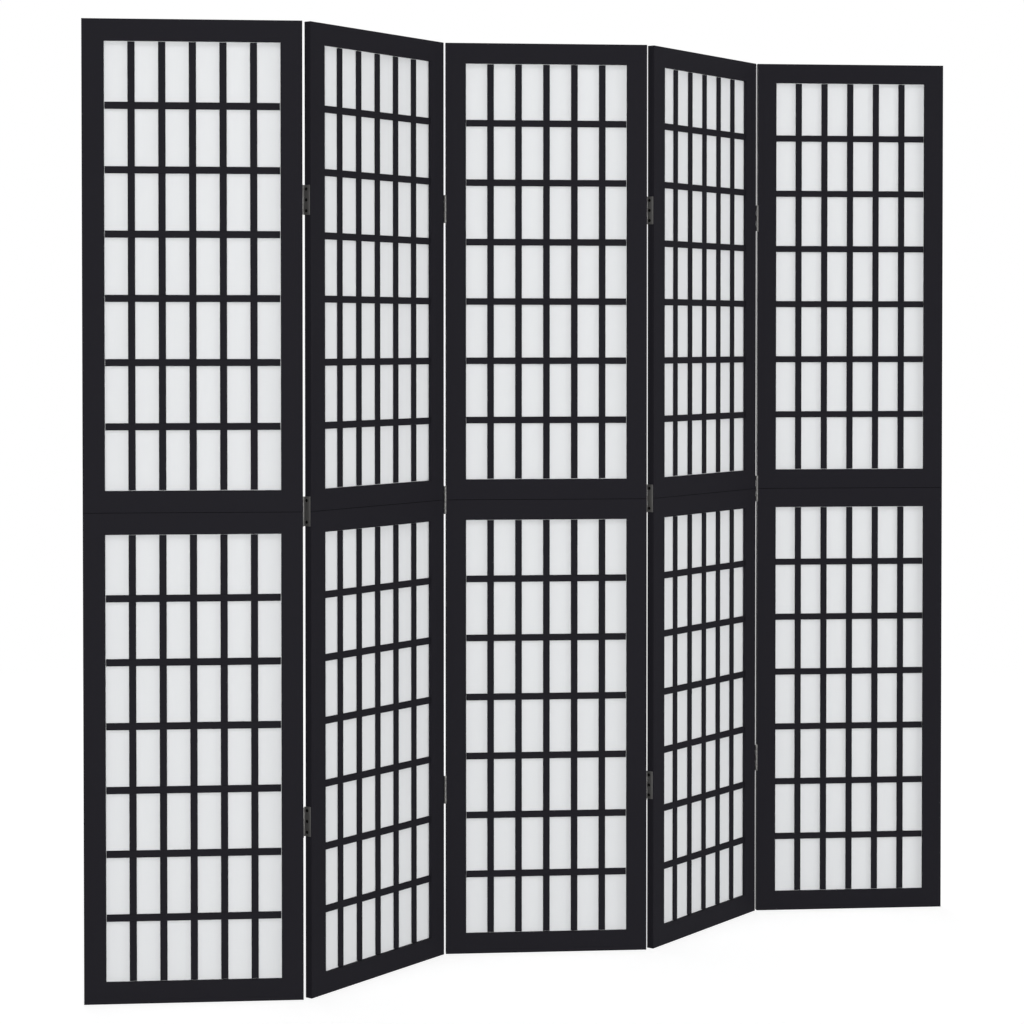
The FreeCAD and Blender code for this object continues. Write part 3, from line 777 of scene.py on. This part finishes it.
def pin_tree():
    """Plain hinge pins along Z."""
    wire, size = start_tree("hinge_pins", {
        "Points": GEOMETRY, "Radius": FLOAT, "Length": FLOAT, "Metal": MATERIAL})
    pin = rod(wire, size["Radius"], size["Length"], BARREL_SIDES)
    return end_tree(wire, on_points(wire, size["Points"], pin), size["Metal"])


def add_hinges(panel, trees, metals):
    """A panel's own leaves and screws. An even panel's leaves have the end knuckles and hold the pins."""
    own_knuckles = KNUCKLES // 2 + 1 if panel % 2 == 0 else KNUCKLES // 2
    name = f"panel_{panel}_hinge_plates"
    mesh = grow(name, trees["leaf"], {
        "Leaf Height": LEAF_HEIGHT, "Leaf Reach": LEAF_REACH, "Leaf Thickness": LEAF_THICKNESS,
        "Barrel Radius": BARREL_RADIUS, "Axis To Edge": AXIS_TO_EDGE,
        "Knuckle Pitch": LEAF_HEIGHT / KNUCKLES, "Knuckle Gap": KNUCKLE_GAP,
        "Knuckle Clearance": KNUCKLE_CLEARANCE, "Own Knuckles": own_knuckles,
        "Screw Setback": SCREW_SETBACK, "Screw Spacing": SCREW_SPACING,
        "Head Radius": HEAD_RADIUS + SCREW_CLEARANCE, "Shank Radius": SHANK_RADIUS + SCREW_CLEARANCE,
        "Metal": metals["leaf"]}, LEAF_ARRIS, hinge_points(name, leaf_places(panel)))
    add_piece(name, rounded(mesh), panel, "bronzed_hinge", f"panel_{panel}_hinge_leaves")

    name = f"panel_{panel}_wood_screws"
    mesh = grow(name, trees["screw"], {
        "Head Radius": HEAD_RADIUS, "Head Height": LEAF_THICKNESS, "Crown": HEAD_CROWN,
        "Shank Radius": SHANK_RADIUS, "Length": SCREW_LENGTH, "Point Length": SCREW_POINT,
        "Recess Span": RECESS_SPAN, "Recess Width": RECESS_WIDTH, "Recess Depth": RECESS_DEPTH,
        "Metal": metals["screw"]}, None, hinge_points(name, screw_places(panel)))
    add_piece(name, rounded(mesh), panel, "bronzed_screw", f"panel_{panel}_hinge_screws")

    if panel % 2 == 0:
        name = f"panel_{panel}_pins"
        mesh = grow(name, trees["pin"], {
            "Radius": PIN_RADIUS, "Length": LEAF_HEIGHT, "Metal": metals["pin"]},
            LEAF_ARRIS, hinge_points(name, leaf_places(panel)))
        add_piece(name, rounded(mesh), panel, "pin_steel",
                  f"hinge_pins_{panel - 1}_{panel}", f"hinge_pins_{panel}_{panel + 1}")


# Finishes on the solids that show as they are

def finish_solids(panel, paints, wood):
    """Lacquer on a panel's frame, and bare wood on its dowels."""
    for half in HALVES:
        coat(f"panel_{panel}_{half}_stiles", paints["upright"])
        coat(f"panel_{panel}_{half}_rails", paints["level"])
    coat(f"panel_{panel}_dowels", wood)


def coat(node, material):
    for slot in frame["nodes"][node].material_slots:
        slot.material = material


# Studio

WHITE = (1, 1, 1, 1)
FLOOR_SIZE = 40.0
FLOOR_COLOUR = (0.50, 0.50, 0.50, 1)
FLOOR_GLOW = 0.73
SHADOW_REACH = 1.8
WHITE_REACH = 4.5
SKY_LIGHT = 0.32
LOW_AIM = (0, 0, 0.7)
MIDDLE_AIM = (0, 0, 0.9)
HIGH_AIM = (0, 0, 1.0)
CAMERA_PLACE = (-2.4345, -4.1649, 1.2181)
CAMERA_TURN = (math.radians(89), 0, math.radians(-29.5))
CAMERA_LENS = 85.597
CAMERA_SENSOR = 36
CAMERA_SHIFT = -0.1278


def seen_straight(wire):
    """1 for what the camera sees, straight or in a shiny or clear surface, and 0 for light on the object."""
    paths = [wire.node("ShaderNodeLightPath", out=name)
             for name in ("Is Camera Ray", "Is Glossy Ray", "Is Transmission Ray")]
    return wire.math("MINIMUM", paths[0] + paths[1] + paths[2], 1.0)


def add_floor():
    """A plain pale floor with the object's shadow on it, which the camera sees as white further out."""
    mesh = bpy.data.meshes.new("studio_floor")
    edge = FLOOR_SIZE / 2
    corners = [(-edge, -edge, 0), (edge, -edge, 0), (edge, edge, 0), (-edge, edge, 0)]
    mesh.from_pydata(corners, [], [(0, 1, 2, 3)])
    floor = in_scene("studio_floor", mesh)
    material, wire = start_material("studio_floor")
    matt = wire.node("ShaderNodeBsdfDiffuse", sockets={"Color": FLOOR_COLOUR})
    place = wire.node("ShaderNodeTexCoord", out="Object")
    distance = wire.node("ShaderNodeVectorMath", {"operation": "LENGTH"}, {0: place}, out="Value")
    further_out = wire.node("ShaderNodeMapRange", {"interpolation_type": "SMOOTHSTEP"}, {
        "Value": distance, "From Min": SHADOW_REACH, "From Max": WHITE_REACH})
    straight = seen_straight(wire)
    glow = wire.node("ShaderNodeEmission", sockets={"Strength": FLOOR_GLOW * straight})
    shaded = wire.node("ShaderNodeAddShader", sockets={0: matt, 1: glow})
    white = wire.node("ShaderNodeEmission", sockets={"Strength": 1.0})
    surface = wire.node("ShaderNodeMixShader", sockets={"Fac": further_out * straight, 1: shaded, 2: white})
    wire.node("ShaderNodeOutputMaterial", sockets={"Surface": surface})
    mesh.materials.append(material)


def add_sky():
    """A white surround, dimmer as light on the object than as the background."""
    world = bpy.data.worlds.new("studio")
    world.use_nodes = True
    world.node_tree.nodes.clear()
    wire = Wire(world.node_tree)
    strength = SKY_LIGHT + (1 - SKY_LIGHT) * seen_straight(wire)
    sky = wire.node("ShaderNodeBackground", sockets={"Color": WHITE, "Strength": strength})
    wire.node("ShaderNodeOutputWorld", sockets={"Surface": sky})
    bpy.context.scene.world = world


def add_lamp(name, place, aim, width, height, power):
    """A soft lamp at a place, turned to a point."""
    light = bpy.data.lights.new(name, "AREA")
    light.shape = "RECTANGLE"
    light.size = width
    light.size_y = height
    light.energy = power
    lamp = in_scene(name, light)
    lamp.location = place
    lamp.rotation_euler = (Vector(aim) - Vector(place)).to_track_quat("-Z", "Y").to_euler()


def add_camera():
    """To the left of the screen and almost level, with the lens shifted for the photograph's framing."""
    data = bpy.data.cameras.new("camera")
    data.lens = CAMERA_LENS
    data.sensor_width = CAMERA_SENSOR
    data.shift_y = CAMERA_SHIFT
    camera = in_scene("camera", data)
    camera.location = CAMERA_PLACE
    camera.rotation_euler = CAMERA_TURN
    bpy.context.scene.camera = camera


# Building

lacquers = {"odd": panel_lacquers("odd", panel_turn(1)), "even": panel_lacquers("even", panel_turn(2))}
cloth = white_cloth()
wood = bare_wood()
metals = {
    "leaf": dark_metal("bronzed_hinge", BRONZE_DARK, BRONZE_RUBBED, metallic=0.75, roughness=0.40),
    "screw": dark_metal("bronzed_screw", SCREW_DARK, SCREW_RUBBED, metallic=1.0, roughness=0.42),
    "pin": dark_metal("pin_steel", STEEL_DULL, STEEL_BRIGHT, metallic=1.0, roughness=0.30)}
strips = lattice_tree()
hinges = {"leaf": leaf_tree(), "screw": screw_tree(), "pin": pin_tree()}
for panel in PANELS:
    paints = lacquers["even" if panel % 2 == 0 else "odd"]
    finish_solids(panel, paints, wood)
    add_lattice(panel, strips, paints)
    add_sheets(panel, cloth)
    add_hinges(panel, hinges, metals)

add_floor()
add_sky()
add_lamp("front_lamp", place=(-4.5, -7.8, 1.0), aim=LOW_AIM, width=2.6, height=1.8, power=402)
add_lamp("side_lamp", place=(5.2, -4.8, 1.2), aim=LOW_AIM, width=2.4, height=2.0, power=130)
add_lamp("top_lamp", place=(-2.6, -4.5, 8.0), aim=HIGH_AIM, width=2.6, height=2.6, power=130)
add_lamp("back_lamp", place=(1.4, 6.0, 1.3), aim=MIDDLE_AIM, width=4.0, height=2.0, power=250)
add_camera()
bpy.context.scene.view_settings.view_transform = "Standard"
